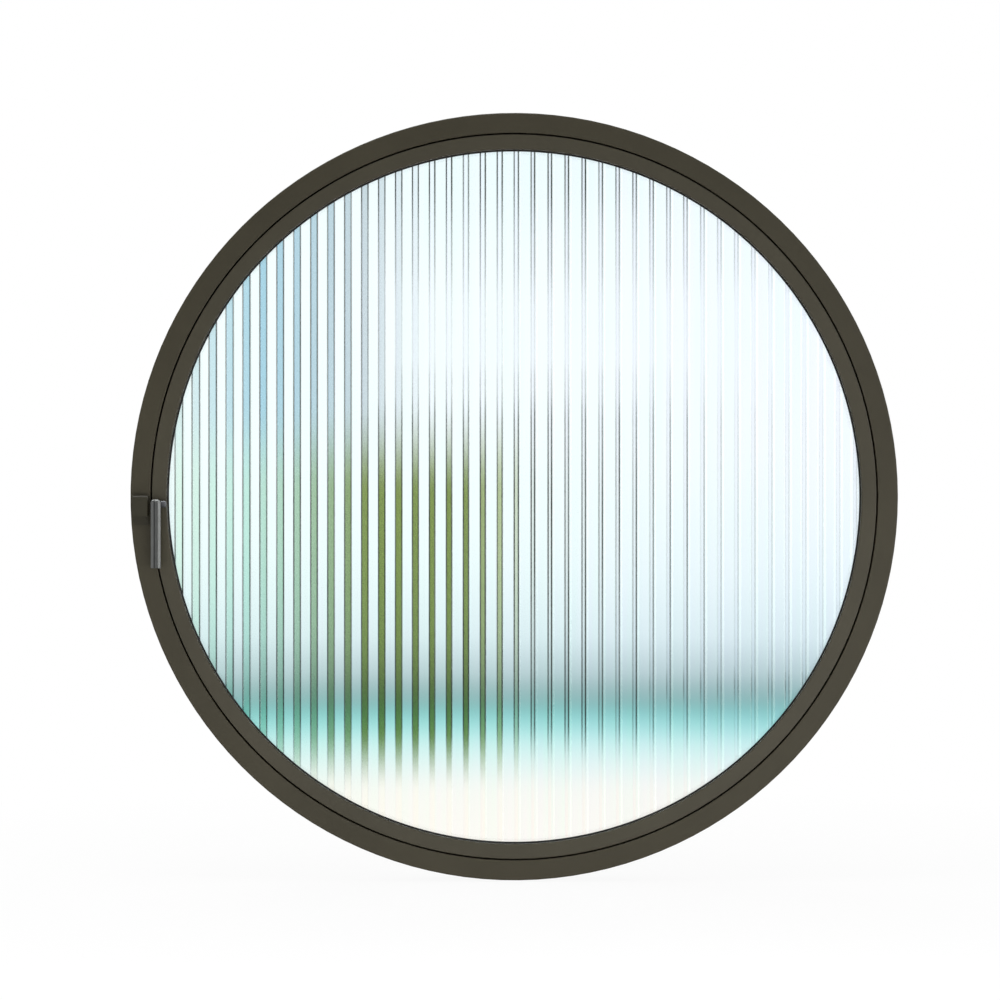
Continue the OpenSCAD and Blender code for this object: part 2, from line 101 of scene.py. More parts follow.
def noise(tree, scale, detail=2.0, rough=0.5, stretch=None):
    """Noise in the object's own coordinates, in metres; stretch scales the three axes."""
    coords = node(tree, "ShaderNodeTexCoord")
    texture = node(tree, "ShaderNodeTexNoise")
    texture.inputs["Scale"].default_value = scale
    texture.inputs["Detail"].default_value = detail
    texture.inputs["Roughness"].default_value = rough
    source = coords.outputs["Object"]
    if stretch:
        mapping = node(tree, "ShaderNodeMapping")
        mapping.inputs["Scale"].default_value = stretch
        tree.links.new(source, mapping.inputs["Vector"])
        source = mapping.outputs["Vector"]
    tree.links.new(source, texture.inputs["Vector"])
    return texture.outputs["Fac"]


def ramp(tree, source, stops, ease="LINEAR"):
    """Colour ramp over stops of (place, colour)."""
    made = node(tree, "ShaderNodeValToRGB")
    made.color_ramp.interpolation = ease
    elements = made.color_ramp.elements
    while len(elements) > 1:
        elements.remove(elements[-1])
    elements[0].position = stops[0][0]
    elements[0].color = (*stops[0][1], 1)
    for place, colour in stops[1:]:
        elements.new(place).color = (*colour, 1)
    tree.links.new(source, made.inputs["Fac"])
    return made.outputs["Color"]


def grey(tree, source, stops):
    """Eased ramp over stops of (place, level)."""
    return ramp(tree, source, [(place, (level, level, level)) for place, level in stops], "EASE")


def spread(tree, source, low, high, start=0.0, end=1.0, clamp=True):
    """Maps the range from start to end onto the range from low to high."""
    made = node(tree, "ShaderNodeMapRange", clamp=clamp)
    made.inputs["From Min"].default_value = start
    made.inputs["From Max"].default_value = end
    made.inputs["To Min"].default_value = low
    made.inputs["To Max"].default_value = high
    tree.links.new(source, made.inputs["Value"])
    return made.outputs["Result"]


def calc(tree, operation, first, *others):
    """Applies one operation to the first source and each of the others in turn, sockets or numbers."""
    got = first
    for other in others:
        made = node(tree, "ShaderNodeMath", operation=operation)
        tree.links.new(got, made.inputs[0])
        if isinstance(other, float):
            made.inputs[1].default_value = other
        else:
            tree.links.new(other, made.inputs[1])
        got = made.outputs["Value"]
    return got


def blend(tree, low, high, share):
    """Mixes two colours, each a socket or a written colour."""
    made = node(tree, "ShaderNodeMix", data_type="RGBA")
    tree.links.new(share, made.inputs["Factor"])
    for key, source in (("A", low), ("B", high)):
        if isinstance(source, tuple):
            made.inputs[key].default_value = (*source, 1)
        else:
            tree.links.new(source, made.inputs[key])
    return made.outputs["Result"]


def bump(tree, bsdf, source, strength, distance):
    made = node(tree, "ShaderNodeBump")
    made.inputs["Strength"].default_value = strength
    made.inputs["Distance"].default_value = distance
    tree.links.new(source, made.inputs["Height"])
    tree.links.new(made.outputs["Normal"], bsdf.inputs["Normal"])


def shaded(tree, bsdf, source, colour, share):
    """Base colour that drifts by a share to either side of the written one."""
    darker = tuple(c * (1 - share) for c in colour)
    lighter = tuple(c * (1 + share) for c in colour)
    drift = ramp(tree, source, [(NOISE_LOW, darker), (NOISE_HIGH, lighter)])
    tree.links.new(drift, bsdf.inputs["Base Color"])


def roughened(tree, bsdf, source, low, high):
    tree.links.new(spread(tree, source, low, high), bsdf.inputs["Roughness"])


# Materials

def coat(name, colour, rough, gloss=0.18):
    """Powder coat: fine grain in the surface, a slow drift in shade and gloss."""
    mat, tree, bsdf = material(name)
    shaded(tree, bsdf, noise(tree, scale=9.0, detail=4.0, rough=0.6), colour, share=0.07)
    roughened(tree, bsdf, noise(tree, scale=60.0, detail=3.0), low=rough - 0.06, high=rough + 0.06)
    bsdf.inputs["Specular IOR Level"].default_value = gloss
    bump(tree, bsdf, noise(tree, scale=1500.0), strength=0.5, distance=0.00006)
    return mat


def brushed(name, colour, rough, stretch=(300.0, 300.0, 12.0), metallic=1.0):
    """Metal with fine upright brush lines."""
    mat, tree, bsdf = material(name)
    lines = noise(tree, scale=8.0, detail=4.0, rough=0.6, stretch=stretch)
    shaded(tree, bsdf, lines, colour, share=0.12)
    roughened(tree, bsdf, lines, low=rough - 0.07, high=rough + 0.09)
    bsdf.inputs["Metallic"].default_value = metallic
    bump(tree, bsdf, lines, strength=0.25, distance=0.00004)
    return mat


def rubber(name, colour):
    mat, tree, bsdf = material(name)
    shaded(tree, bsdf, noise(tree, scale=120.0, detail=4.0, rough=0.6), colour, share=0.25)
    roughened(tree, bsdf, noise(tree, scale=300.0), low=0.6, high=0.8)
    bump(tree, bsdf, noise(tree, scale=1800.0), strength=0.4, distance=0.0001)
    return mat


def nylon(name, colour):
    mat, tree, bsdf = material(name)
    shaded(tree, bsdf, noise(tree, scale=180.0, detail=3.0), colour, share=0.04)
    roughened(tree, bsdf, noise(tree, scale=90.0), low=0.4, high=0.55)
    return mat


def clear_glass(name, ripple):
    """Smooth clear glass with a slight ripple, its base colour still to be set."""
    mat, tree, bsdf = material(name)
    bsdf.inputs["Transmission Weight"].default_value = 1.0
    bsdf.inputs["Roughness"].default_value = 0.0
    bsdf.inputs["IOR"].default_value = 1.5
    bump(tree, bsdf, noise(tree, scale=7.0, stretch=(1.0, 1.0, 0.25)), strength=0.3, distance=ripple)
    return mat, tree, bsdf


def drifting_glass(name, low, high, ripple):
    """Clear glass whose faint tint drifts between two colours."""
    mat, tree, bsdf = clear_glass(name, ripple)
    tint = ramp(tree, noise(tree, scale=3.0), [(0.35, low), (0.65, high)])
    tree.links.new(tint, bsdf.inputs["Base Color"])
    return mat


# Tints of the reeded pane; places run from 0 to 1, from the left or from below
# Painted view through the glass: tints in the narrow reeds that stand in for the outside seen through them;
# from the left: aqua, then green in the lower part, then clear
UPPER_TINTS = [(0.03, (0.78, 0.88, 0.88)), (0.14, (0.43, 0.66, 0.77)), (0.28, (0.62, 0.68, 0.72)),
               (0.38, (0.94, 0.96, 0.98))]
LOWER_TINTS = [(0.03, (0.8, 0.93, 0.84)), (0.12, (0.6, 0.84, 0.76)), (0.29, (0.24, 0.31, 0.085)),
               (0.43, (0.24, 0.31, 0.085)), (0.48, (0.5, 0.56, 0.32)), (0.53, (0.9, 0.93, 0.9)),
               (0.72, (0.96, 0.98, 0.99))]
# Painted view through the glass at the pane's foot: a sandy white that takes over from the lower tints
# there
FOOT_TINT = (0.985, 0.985, 0.96)
LOWER_SHARE = [(0.5, 1.0), (0.64, 0.0)]
FOOT_SHARE = [(0.08, 1.0), (0.17, 0.0)]
# Moves of the tint's right edge to the left: levels across the pane, and the least and most share of a pair
EDGE_SHIFT = [(0.03, 0.0), (0.21, 0.25), (0.34, 0.3), (0.39, 0.55), (0.48, 0.65), (0.53, 1.0)]
LEAST_SHIFT, MOST_SHIFT = -0.06, 0.18
# Soft sides of the tint, out of and into the narrow reed, and half widths of a dark line, as such shares
OUTSIDE, INSIDE = 0.01, 0.03
LINE_CORE, LINE_EDGE = 0.018, 0.062
# Colour and strength of the painted shade: dark lines along the valleys that stand in for the dark edges
# refraction draws there
PAINTED_SHADE_COLOUR = (0.009, 0.013, 0.01)
LINES_FROM_BELOW = [(0.05, 0.03), (0.11, 0.15), (0.18, 0.95), (0.5, 1.0), (0.6, 0.85), (0.66, 0.4),
                    (0.7, 0.15), (0.76, 0.2), (0.85, 0.6), (0.95, 1.0)]
LINES_FROM_LEFT = [(0.26, 0.9), (0.36, 0.0)]
LINES_AT_FOOT = [(0.07, 0.1), (0.2, 1.0)]
LINES_BROKEN = [(0.3, 0.75), (0.6, 1.0)]
LINE_ENDS = [(0.19, 0.0), (0.23, 0.5), (0.28, 0.0), (0.72, 0.0), (0.85, 0.6), (0.97, 0.9)]
LEFT_FADE = [(0.57, 1.0), (0.65, 0.55), (0.73, 0.14)]
RIGHT_FADE = [(0.64, 1.0), (0.74, 0.75), (0.82, 0.3), (0.95, 0.2)]
# Wide reeds, by the level of a noise
CLEAR_TINTS = [(0.35, (0.95, 0.995, 0.98)), (0.65, (0.98, 0.985, 1.0))]


def reeded(name):
    """Clear glass with a painted view in its narrow reeds: a soft tint that stands in for the outside seen
    through them. Painted shade darkens the valleys that bound them.
    """
    mat, tree, bsdf = clear_glass(name, ripple=0.0002)
    place = axes(tree, "Object")
    across = spread(tree, place["X"], 0.0, 1.0, -PANE_R * MM, PANE_R * MM)
    up = spread(tree, place["Z"], 0.0, 1.0, -PANE_R * MM, PANE_R * MM)

    # Share of a pair of reeds, from the middle of the wide one, and the same with the right edge moved
    start = REED_SHIFT + REED_WIDE / 2
    pairs = spread(tree, place["X"], 0.0, 1.0, start * MM, (start + REED_PITCH) * MM, clamp=False)
    part = calc(tree, "FLOORED_MODULO", pairs, 1.0)
    moved = calc(tree, "ADD", part, spread(tree, grey(tree, across, EDGE_SHIFT), LEAST_SHIFT, MOST_SHIFT))
    first = REED_WIDE / 2 / REED_PITCH
    last = first + REED_NARROW / REED_PITCH

    def line(source, middle):
        return ramp(tree, source, [(middle - LINE_EDGE, BLACK), (middle - LINE_CORE, WHITE),
                                   (middle + LINE_CORE, WHITE), (middle + LINE_EDGE, BLACK)])

    # Painted view through the glass, greener in the lower part and sandy at the foot
    tint = blend(tree, ramp(tree, across, UPPER_TINTS), ramp(tree, across, LOWER_TINTS),
                 grey(tree, up, LOWER_SHARE))
    tint = blend(tree, tint, FOOT_TINT, grey(tree, up, FOOT_SHARE))
    narrow = calc(tree, "MULTIPLY",
                  ramp(tree, part, [(first - OUTSIDE, BLACK), (first + INSIDE, WHITE)]),
                  ramp(tree, moved, [(last - INSIDE, WHITE), (last + OUTSIDE, BLACK)]))
    # Painted shade along the valleys: its strength over the pane, broken into patches by a noise
    strength = calc(tree, "MAXIMUM", grey(tree, up, LINES_FROM_BELOW), grey(tree, across, LINES_FROM_LEFT))
    patches = noise(tree, scale=14.0, detail=3.0, rough=0.6, stretch=(4.0, 1.0, 0.12))
    strength = calc(tree, "MULTIPLY", strength, grey(tree, up, LINES_AT_FOOT),
                    grey(tree, patches, LINES_BROKEN))
    ends = grey(tree, up, LINE_ENDS)
    streaks = noise(tree, scale=3.0, rough=0.6, stretch=(16.0, 1.0, 0.5))
    base = blend(tree, ramp(tree, streaks, CLEAR_TINTS), tint, narrow)
    # Painted shade on the valleys at both sides of each narrow reed
    for dark, fade in ((line(part, first), LEFT_FADE), (line(moved, last), RIGHT_FADE)):
        shown = calc(tree, "MAXIMUM", grey(tree, across, fade), ends)
        base = blend(tree, base, PAINTED_SHADE_COLOUR, calc(tree, "MULTIPLY", dark, strength, shown))
    tree.links.new(base, bsdf.inputs["Base Color"])
    return mat


frame_coat = coat("frame_coat", (0.047, 0.0415, 0.0265), rough=0.44)
sash_coat = coat("sash_coat", (0.0555, 0.05, 0.034), rough=0.42)
keeper_coat = coat("keeper_coat", (0.032, 0.029, 0.018), rough=0.4, gloss=0.22)
handle_coat = brushed("handle_coat", (0.12, 0.124, 0.121), rough=0.32, stretch=(40.0, 40.0, 12.0),
                      metallic=0.85)
seal_rubber = rubber("seal_rubber", (0.008, 0.008, 0.008))
fluted_glass = reeded("fluted_glass")
float_glass = drifting_glass("float_glass", (0.95, 0.99, 0.985), (0.98, 0.998, 0.995), ripple=0.0001)
hardware_steel = brushed("hardware_steel", (0.5, 0.5, 0.49), rough=0.36)
tongue_steel = brushed("tongue_steel", (0.15, 0.154, 0.164), rough=0.5)
spacer_metal = brushed("spacer_metal", (0.5, 0.51, 0.52), rough=0.4)
bush_nylon = nylon("bush_nylon", (0.03, 0.03, 0.031))

slot_material = {
    "frame_coat": frame_coat, "sash_coat": sash_coat, "keeper_coat": keeper_coat,
    "handle_coat": handle_coat, "seal_rubber": seal_rubber, "fluted_glass": fluted_glass,
    "float_glass": float_glass, "hardware_steel": hardware_steel, "tongue_steel": tongue_steel,
    "spacer_metal": spacer_metal, "bush_nylon": bush_nylon,
}
slot_of = {}
for part in frame["record"]["subparts"]:
    slot_of[part["node"]] = part["material_slot"]
for name, obj in frame["nodes"].items():
    obj.data.materials.clear()
    obj.data.materials.append(slot_material[slot_of[name]])


# Pieces, in millimetres

def add(name, verts, faces, mat, body, slot, stands_for=(), smooth=True):
    mesh = bpy.data.meshes.new(name)
    mesh.from_pydata([tuple(c * MM for c in v) for v in verts], [], faces)
    mesh.validate()
    mesh.polygons.foreach_set("use_smooth", [smooth] * len(mesh.polygons))
    mesh.materials.append(mat)
    obj = bpy.data.objects.new(name, mesh)
    bpy.context.scene.collection.objects.link(obj)
    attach(obj, body)
    if stands_for:
        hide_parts(*stands_for)
    return obj


def sharpen(obj, degrees):
    obj.data.set_sharp_from_angle(angle=math.radians(degrees))


def outward(obj):
    """Turns all faces outward."""
    bm = bmesh.new()
    bm.from_mesh(obj.data)
    bmesh.ops.recalc_face_normals(bm, faces=bm.faces)
    bm.to_mesh(obj.data)
    bm.free()


# Reeds shallower than the CAD's, so that refraction doesn't break up the pane's edge, and none the same
RISE_WIDE, RISE_NARROW = 0.35, 0.55
LEAST_RISE, MOST_RISE = 0.9, 0.998
VALLEY_SOFT = 0.05
# Pairs of reeds to either side, more than the pane is wide, and the columns of faces in a reed
PAIRS = 24
WIDE_STEPS, NARROW_STEPS = 30, 22
# How much closer columns lie towards the valleys, and how near they and the last one come to the edge
CROWDING = 0.06
EDGE_CLEAR, EDGE_CUT = 0.4, 0.15


def reed_height(x, rises):
    """Height of the reeds over their foot at x, rounded in the valleys."""
    pair = math.floor((x - REED_SHIFT) / REED_PITCH)
    along = x - REED_SHIFT - pair * REED_PITCH
    wide = along < REED_WIDE
    w = REED_WIDE if wide else REED_NARROW
    h = rises[pair][0 if wide else 1]
    off = along - w / 2 if wide else along - REED_WIDE - w / 2
    r = ((w / 2) ** 2 + h ** 2) / (2 * h)
    rise = math.sqrt(max(0.0, r * r - off * off)) - r + h
    top = math.sqrt(h * h + VALLEY_SOFT * VALLEY_SOFT) - VALLEY_SOFT
    return (math.sqrt(rise * rise + VALLEY_SOFT * VALLEY_SOFT) - VALLEY_SOFT) * h / top


def reeded_glass():
    """Round pane of upright columns, with reeds on the room side and a flat back."""
    rises, xs = {}, []
    for pair in range(-PAIRS, PAIRS):
        rises[pair] = [rise * random.uniform(LEAST_RISE, MOST_RISE) for rise in (RISE_WIDE, RISE_NARROW)]
        start = pair * REED_PITCH + REED_SHIFT
        for w, steps in ((REED_WIDE, WIDE_STEPS), (REED_NARROW, NARROW_STEPS)):
            for i in range(steps):
                t = i / steps
                xs.append(start + w * (t - CROWDING * math.sin(2 * math.pi * t)))
            start += w
    xs = [x for x in xs if abs(x) < PANE_R - EDGE_CLEAR]
    xs = [-PANE_R + EDGE_CUT] + xs + [PANE_R - EDGE_CUT]
    verts, faces = [], []
    for x in xs:
        half = math.sqrt(PANE_R ** 2 - x * x)
        y = REED_Y + REED_FOOT - reed_height(x, rises)
        verts += [(x, y, half), (x, y, -half), (x, PANE_BACK, half), (x, PANE_BACK, -half)]
    for i in range(len(xs) - 1):
        a, b = 4 * i, 4 * i + 4
        faces += [(a, a + 1, b + 1, b), (a + 2, b + 2, b + 3, a + 3)]
        faces += [(a, b, b + 2, a + 2), (a + 1, a + 3, b + 3, b + 1)]
    last = 4 * (len(xs) - 1)
    faces += [(0, 2, 3, 1), (last, last + 1, last + 3, last + 2)]
    obj = add("reeded_glass", verts, faces, fluted_glass, "sash", "fluted_glass", ["reeded_pane"])
    sharpen(obj, degrees=40)


def turned(profile, steps=540):
    """Vertices and faces of a closed profile of (radius, depth) points, turned about the depth axis."""
    verts, faces, n = [], [], len(profile)
    for i in range(steps):
        a = 2 * math.pi * i / steps
        verts += [(r * math.cos(a), y, r * math.sin(a)) for r, y in profile]
    for i in range(steps):
        a, b = i * n, (i + 1) % steps * n
        faces += [(a + k, b + k, b + (k + 1) % n, a + (k + 1) % n) for k in range(n)]
    return verts, faces


# Radius of each gasket's nose, and how far a gasket stays inside the CAD's at its rim, sides and nose
ROOM_NOSE_R, OUTER_NOSE_R = 541.0, 545.7
RIM_CLEAR, SIDE_CLEAR, NOSE_CLEAR = 0.05, 0.02, 0.03
NOSE_STEPS = 12


def gasket(name, stands_for, face, back, nose):
    """Rubber gasket with a rounded nose towards the middle; face is the side at the metal lip."""
    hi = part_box(stands_for)[1]
    outer = min(hi[0], hi[2]) / MM - RIM_CLEAR
    depth = abs(back - face)
    way = 1 if back > face else -1
    r = depth / 2
    profile = [(outer, face + way * SIDE_CLEAR), (outer, back - way * SIDE_CLEAR)]
    for i in range(NOSE_STEPS + 1):
        a = math.pi * (0.5 - i / NOSE_STEPS)
        profile.append((nose + r - r * math.cos(a), face + way * (r + (r - NOSE_CLEAR) * math.sin(a))))
    add(name, *turned(profile), seal_rubber, "sash", "seal_rubber", [stands_for])


# Shares of a screw's own sizes: the bevel of its head, and its tip
BEVEL_SHARE, TIP_SHARE = 0.12, 0.8
# The same for its cross recess: reach, half width and taper of an arm, then the floor and the depth
ARM_SHARE, ARM_HALF_SHARE, ARM_TAPER = 0.58, 0.13, 0.8
FLOOR_X_SHARE, FLOOR_Y_SHARE, RECESS_SHARE = 0.45, 0.7, 0.75
SCREW_SIDES = 32


def screw_mesh(head_r, shank_r, head_h, length):
    """A countersunk screw with a cross recess: its head's face is at zero, facing +Z."""
    bm = bmesh.new()

    def ring(r, z):
        turns = [2 * math.pi * i / SCREW_SIDES for i in range(SCREW_SIDES)]
        return [bm.verts.new((r * math.cos(t), r * math.sin(t), z)) for t in turns]

    bevel = BEVEL_SHARE * head_r
    rim = ring(head_r, -bevel)
    face = ring(head_r - bevel, 0)
    neck = ring(shank_r, -head_h)
    foot = ring(shank_r * TIP_SHARE, -length)
    for upper, lower in ((face, rim), (rim, neck), (neck, foot)):
        for i in range(SCREW_SIDES):
            j = (i + 1) % SCREW_SIDES
            bm.faces.new((upper[i], lower[i], lower[j], upper[j]))
    bm.faces.new(list(reversed(foot)))
    arm, half = head_r * ARM_SHARE, head_r * ARM_HALF_SHARE
    corners = []
    for k in range(4):
        c, s = math.cos(math.pi / 2 * k), math.sin(math.pi / 2 * k)
        for x, y in ((half, -half), (arm, -half * ARM_TAPER), (arm, half * ARM_TAPER)):
            corners.append((x * c - y * s, x * s + y * c))
    top = [bm.verts.new((x, y, 0)) for x, y in corners]
    floor_z = -head_h * RECESS_SHARE
    deep = [bm.verts.new((x * FLOOR_X_SHARE, y * FLOOR_Y_SHARE, floor_z)) for x, y in corners]
    n = len(corners)
    edges = [bm.edges.new((top[i], top[(i + 1) % n])) for i in range(n)]
    edges += [bm.edges.get((face[i], face[(i + 1) % SCREW_SIDES])) for i in range(SCREW_SIDES)]
    bmesh.ops.triangle_fill(bm, use_beauty=True, use_dissolve=False, edges=edges)
    for i in range(n):
        j = (i + 1) % n
        bm.faces.new((top[j], top[i], deep[i], deep[j]))
    bm.faces.new(deep)
    bmesh.ops.recalc_face_normals(bm, faces=bm.faces)
    return bm


def screws(name, stands_for, places, body, **sizes):
    """One piece of screws, each at a 4x4 matrix in millimetres."""
    one = screw_mesh(**sizes)
    one.verts.index_update()
    verts, faces = [], []
    for place in places:
        start = len(verts)
        verts += [tuple(place @ v.co) for v in one.verts]
        faces += [tuple(start + v.index for v in f.verts) for f in one.faces]
    one.free()
    obj = add(name, verts, faces, hardware_steel, body, "hardware_steel", [stands_for])
    sharpen(obj, degrees=35)


# Number of screws in the glazing ring, and the most that one is turned, in radians
RING_SCREWS = 16
MOST_TURN = 1.5


def ring_screws():
    """The glazing ring's screws, each turned at random; the outermost lie half a step off an axis."""
    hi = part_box("ring_screws")[1]
    step = 2 * math.pi / RING_SCREWS
    ring_r = (max(hi[0], hi[2]) / MM - SCREW_HEAD_R) / math.cos(step / 2)
    places = []
    for i in range(RING_SCREWS):
        place = Matrix.Rotation((i + 0.5) * step, 4, "Y") @ Matrix.Translation((ring_r, hi[1] / MM, 0))
        place = place @ Matrix.Rotation(-math.pi / 2, 4, "X")
        places.append(place @ Matrix.Rotation(random.uniform(0, MOST_TURN), 4, "Z"))
    screws("ring_screws_cross", "ring_screws", places, "sash",
           head_r=3.45, shank_r=1.9, head_h=1.75, length=8.8)


# Tongue: half its height and the rounding at its end, then its ring's hole, outside radius and thickness
TONGUE_HALF, TONGUE_CORNER = 5.2, 2.0
TONGUE_HOLE, TONGUE_RING, TONGUE_RING_DEEP = 5.1, 5.48, 0.8
# How far it stays inside the CAD one at its back, front and end
BACK_CLEAR, FRONT_CLEAR, END_CLEAR = 0.01, 0.05, 0.02
# Least share of its depth along its sides, and how strongly its end falls away
LEAST_DEPTH, END_FALL = 0.25, 0.7
TONGUE_ROWS, TONGUE_COLUMNS, RING_STEPS = 24, 14, 24


def tongue():
    """Locking tongue with a rounded front, on a flat back, round the handle's neck."""
    lo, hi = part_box("cam_tongue")
    back, deep = hi[1] / MM - BACK_CLEAR, (hi[1] - lo[1]) / MM - FRONT_CLEAR
    mid_x = lo[0] / MM + TONGUE_RING_R
    mid_z = (lo[2] + hi[2]) / 2 / MM
    reach = hi[0] / MM - END_CLEAR - mid_x
    verts, faces = [], []

    def sheet(front_at, columns):
        """Closes a strip of columns, each a list of (x, z) points, between its front and its back."""
        start, n = len(verts), len(columns[0])
        for points in columns:
            verts.extend((mid_x + x, front_at(x, z), mid_z + z) for x, z in points)
            verts.extend((mid_x + x, back, mid_z + z) for x, z in points)
        step = 2 * n
        for c in range(len(columns) - 1):
            a, b = start + c * step, start + (c + 1) * step
            for i in range(n - 1):
                faces.append((a + i, a + i + 1, b + i + 1, b + i))
                faces.append((a + n + i, b + n + i, b + n + i + 1, a + n + i + 1))
            faces.append((a, b, b + n, a + n))
            faces.append((a + n - 1, a + 2 * n - 1, b + 2 * n - 1, b + n - 1))
        for a, turn in ((start, 1), (start + (len(columns) - 1) * step, -1)):
            for i in range(n - 1):
                faces.append((a + i, a + n + i, a + n + i + 1, a + i + 1)[::turn])

    def rounded(x, z):
        near_end = max(0.0, 1 - (reach - x) / TONGUE_CORNER)
        bulge = math.sqrt(max(0.0, 1 - (z / TONGUE_HALF) ** 2))
        return back - deep * max(LEAST_DEPTH, bulge) * math.sqrt(1 - END_FALL * near_end ** 2)

    def level(x, z):
        return back - TONGUE_RING_DEEP

    columns = []
    for i in range(TONGUE_COLUMNS + 1):
        points = []
        for j in range(TONGUE_ROWS + 1):
            z = -TONGUE_HALF + 2 * TONGUE_HALF * j / TONGUE_ROWS
            first = math.sqrt(max(0.0, TONGUE_HOLE ** 2 - z * z))
            over = max(0.0, abs(z) - TONGUE_HALF + TONGUE_CORNER)
            last = reach - TONGUE_CORNER + math.sqrt(max(0.0, TONGUE_CORNER ** 2 - over ** 2))
            points.append((first + (last - first) * i / TONGUE_COLUMNS, z))
        columns.append(points)
    sheet(rounded, columns)
    turns = [math.pi * (0.5 + i / RING_STEPS) for i in range(RING_STEPS + 1)]
    radii = (TONGUE_HOLE, TONGUE_RING)
    sheet(level, [[(r * math.cos(t), r * math.sin(t)) for r in radii] for t in turns])
    obj = add("tongue_rounded", verts, faces, tongue_steel, "handle", "tongue_steel", ["cam_tongue"])
    sharpen(obj, degrees=40)
    outward(obj)


# Painted shade in the lever's groove, a dark strip: half its width, and the depths of its front and back
# behind the lever's face
GROOVE_SHADE_HALF = 0.7
GROOVE_SHADE_FRONT, GROOVE_SHADE_BACK = 0.9, 1.95
# Distance of its upper rounding's centre from the lever's top, and of its lower end from the lever's foot
GROOVE_SHADE_FROM_TOP, GROOVE_SHADE_FROM_FOOT = 4.0, 0.2
GROOVE_SHADE_STEPS = 12


def groove_shade_strip():
    """Painted shade: a dark strip with rounded ends in the groove of the lever, where the groove is in
    shade.
    """
    lo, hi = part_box("handle_lever")
    left = (lo[0] + hi[0]) / 2 / MM - LEVER_WIDE / 2
    middle = left + LEVER_WIDE * GROOVE_SHARE + GROOVE_WIDE / 2
    top, foot = hi[2] / MM - GROOVE_SHADE_FROM_TOP, lo[2] / MM + GROOVE_SHADE_FROM_FOOT + GROOVE_SHADE_HALF
    outline = []
    for end, start in ((top, 0), (foot, math.pi)):
        for i in range(GROOVE_SHADE_STEPS + 1):
            t = start + math.pi * i / GROOVE_SHADE_STEPS
            outline.append((middle + GROOVE_SHADE_HALF * math.cos(t), end + GROOVE_SHADE_HALF * math.sin(t)))
    n = len(outline)
    verts = [(x, lo[1] / MM + deep, z) for deep in (GROOVE_SHADE_FRONT, GROOVE_SHADE_BACK) for x, z in outline]
    faces = [tuple(range(n)), tuple(range(2 * n - 1, n - 1, -1))]
    faces += [(i, n + i, n + (i + 1) % n, (i + 1) % n) for i in range(n)]
    outward(add("groove_shade_strip", verts, faces, seal_rubber, "handle", "seal_rubber", smooth=False))


reeded_glass()
ring_screws()
tongue()
groove_shade_strip()
room_lo, room_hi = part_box("room_gasket")
gasket("room_gasket_bead", "room_gasket", room_lo[1] / MM, room_hi[1] / MM, ROOM_NOSE_R)
outer_lo, outer_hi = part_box("outer_gasket")
gasket("outer_gasket_bead", "outer_gasket", outer_hi[1] / MM, outer_lo[1] / MM, OUTER_NOSE_R)


# Stage: floor, lamps, world and camera, in metres

FLOOR_HALF, FLOOR_CLEAR = 30.0, 0.002
FLOOR_PAINT = [(NOISE_LOW, (0.86, 0.86, 0.86)), (NOISE_HIGH, (0.9, 0.9, 0.9))]
# Share of plain white that the camera sees near the object, and the distances over which it rises to all
WHITE_SHARE = 0.93
FADE_START, FADE_END = 0.7, 1.6


def floor():
    mesh = bpy.data.meshes.new("floor")
    level = -FRAME_R * MM - FLOOR_CLEAR
    corners = [(-1, -1), (1, -1), (1, 1), (-1, 1)]
    mesh.from_pydata([(x * FLOOR_HALF, y * FLOOR_HALF, level) for x, y in corners], [], [(0, 1, 2, 3)])
    mat, tree, bsdf = material("floor_paint")
    paint = ramp(tree, noise(tree, scale=4.0, detail=3.0), FLOOR_PAINT)
    tree.links.new(paint, bsdf.inputs["Base Color"])
    bsdf.inputs["Roughness"].default_value = 0.9
    path = node(tree, "ShaderNodeLightPath")
    white = node(tree, "ShaderNodeEmission")
    white.inputs["Strength"].default_value = 1.0
    coords = node(tree, "ShaderNodeTexCoord")
    far = node(tree, "ShaderNodeVectorMath", operation="LENGTH")
    tree.links.new(coords.outputs["Object"], far.inputs[0])
    fade = spread(tree, far.outputs["Value"], WHITE_SHARE, 1.0, FADE_START, FADE_END)
    mix = node(tree, "ShaderNodeMixShader")
    tree.links.new(calc(tree, "MULTIPLY", path.outputs["Is Camera Ray"], fade), mix.inputs["Fac"])
    tree.links.new(bsdf.outputs["BSDF"], mix.inputs[1])
    tree.links.new(white.outputs["Emission"], mix.inputs[2])
    tree.links.new(mix.outputs["Shader"], tree.nodes["Material Output"].inputs["Surface"])
    mesh.materials.append(mat)
    obj = bpy.data.objects.new("floor", mesh)
    bpy.context.scene.collection.objects.link(obj)
    obj.visible_transmission = False
    obj.visible_glossy = False


def area(name, place, target, wide, tall, power, glossy=True, diffuse=True):
    data = bpy.data.lights.new(name, "AREA")
    data.shape = "RECTANGLE"
    data.size, data.size_y = wide, tall
    data.energy = power
    obj = bpy.data.objects.new(name, data)
    obj.location = place
    obj.rotation_euler = (Vector(target) - Vector(place)).to_track_quat("-Z", "Y").to_euler()
    obj.visible_transmission = False
    obj.visible_camera = False
    obj.visible_glossy = glossy
    obj.visible_diffuse = diffuse
    bpy.context.scene.collection.objects.link(obj)


